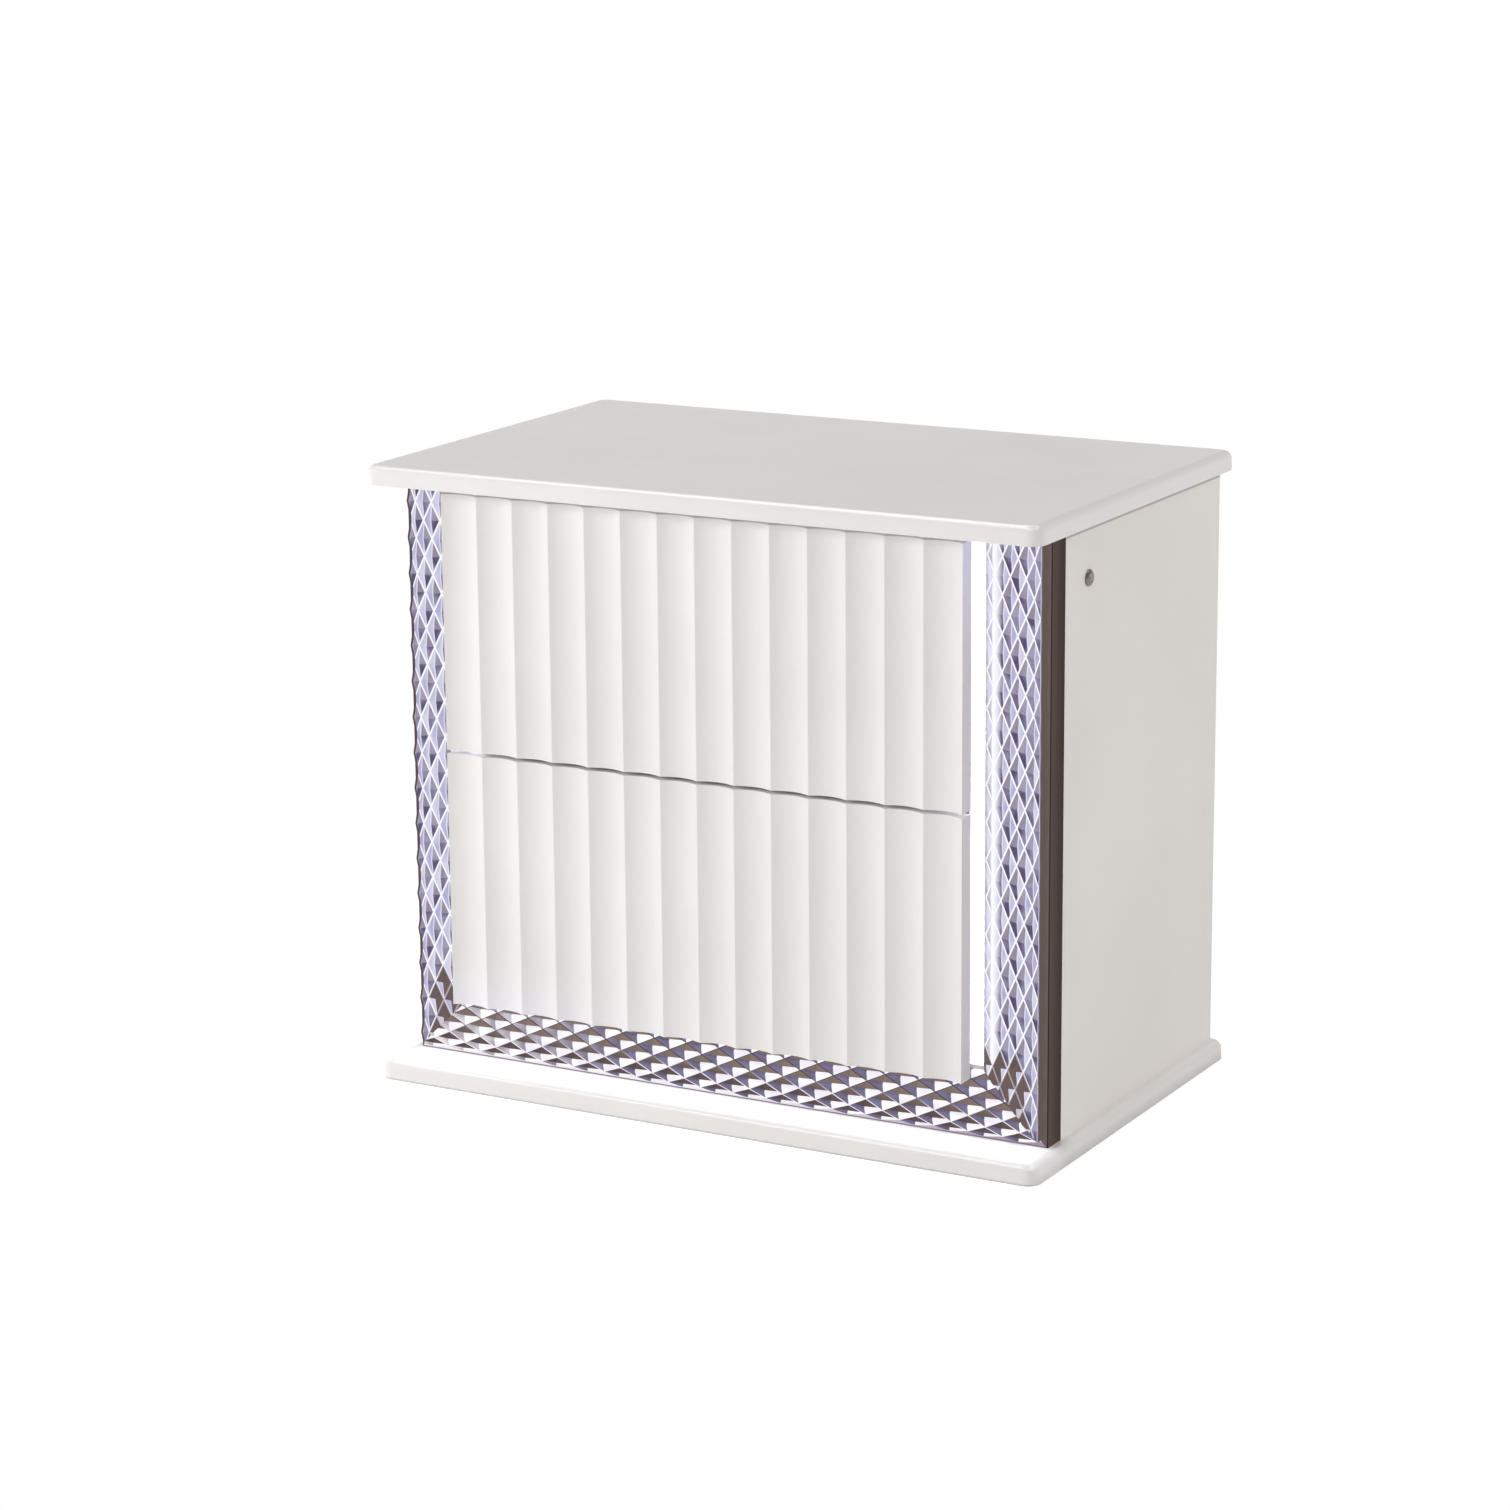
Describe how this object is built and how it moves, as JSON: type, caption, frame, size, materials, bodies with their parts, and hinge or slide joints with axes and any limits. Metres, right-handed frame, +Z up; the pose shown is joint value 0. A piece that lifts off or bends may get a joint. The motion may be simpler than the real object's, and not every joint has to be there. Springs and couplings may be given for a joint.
{
  "type": "nightstand",
  "caption": "White lacquered nightstand with fluted drawer fronts in a lit frame of bronze mirror mouldings with raised diamonds.",
  "frame": {"origin": "middle of the base slab's underside", "axes": "+X to the right seen from the front, +Y to the back, +Z up"},
  "size_m": [0.686, 0.43, 0.59],
  "materials": {
    "white_gloss": "white gloss lacquer on fibreboard",
    "white_satin": "white satin lacquer on fibreboard",
    "white_board": "white melamine board",
    "beech": "plain beech",
    "bronze_mirror": "bronze mirror",
    "anodised": "satin anodised",
    "milky": "milky light cover",
    "strip": "white ribbon with chips",
    "bright_steel": "polished steel",
    "zinc_steel": "zinc plated",
    "black_plastic": "matt black"
  },
  "bodies": {
    "carcass": {"top_slab": "white_gloss", "base_slab": "white_gloss", "left_side_panel": "white_satin", "right_side_panel": "white_satin", "left_partition": "white_board", "right_partition": "white_board", "left_stile": "white_board", "right_stile": "white_board", "bottom_rail": "white_board", "middle_rail": "white_board", "top_rail": "white_board", "back_panel": "white_board", "left_moulding": "bronze_mirror", "right_moulding": "bronze_mirror", "bottom_moulding": "bronze_mirror", "left_led_channel": "anodised", "right_led_channel": "anodised", "left_led_strip": "strip", "right_led_strip": "strip", "left_led_diffuser": "milky", "right_led_diffuser": "milky", "touch_button": "bright_steel", "touch_button_nut": "zinc_steel", "dimmer_module": "black_plastic", "power_inlet": "black_plastic", "cam_bolts": "zinc_steel", "cam_discs": "zinc_steel", "dowels": "beech", "upper_left_runner_outer": "zinc_steel", "upper_right_runner_outer": "zinc_steel", "lower_left_runner_outer": "zinc_steel", "lower_right_runner_outer": "zinc_steel"},
    "upper_runner_middle": {"upper_left_runner_middle": "zinc_steel", "upper_right_runner_middle": "zinc_steel"},
    "upper_drawer": {"upper_drawer_front": "white_satin", "upper_drawer_box_front": "white_board", "upper_drawer_left_side": "white_board", "upper_drawer_right_side": "white_board", "upper_drawer_back": "white_board", "upper_drawer_bottom": "white_board", "upper_left_runner_inner": "zinc_steel", "upper_right_runner_inner": "zinc_steel"},
    "lower_runner_middle": {"lower_left_runner_middle": "zinc_steel", "lower_right_runner_middle": "zinc_steel"},
    "lower_drawer": {"lower_drawer_front": "white_satin", "lower_drawer_box_front": "white_board", "lower_drawer_left_side": "white_board", "lower_drawer_right_side": "white_board", "lower_drawer_back": "white_board", "lower_drawer_bottom": "white_board", "lower_left_runner_inner": "zinc_steel", "lower_right_runner_inner": "zinc_steel"}
  },
  "joints": [
    {"name": "upper_drawer_slide", "type": "slide", "parent": "carcass", "child": "upper_drawer", "axis": [0, -1, 0], "range_m": [0, 0.29]},
    {"name": "upper_runner_slide", "type": "slide", "parent": "carcass", "child": "upper_runner_middle", "axis": [0, -1, 0], "range_m": [0, 0.145]},
    {"name": "lower_drawer_slide", "type": "slide", "parent": "carcass", "child": "lower_drawer", "axis": [0, -1, 0], "range_m": [0, 0.29]},
    {"name": "lower_runner_slide", "type": "slide", "parent": "carcass", "child": "lower_runner_middle", "axis": [0, -1, 0], "range_m": [0, 0.145]}
  ],
  "couplings": [
    {"joint": "upper_runner_slide", "follows": "upper_drawer_slide", "ratio": 0.5},
    {"joint": "lower_runner_slide", "follows": "lower_drawer_slide", "ratio": 0.5}
  ]
}
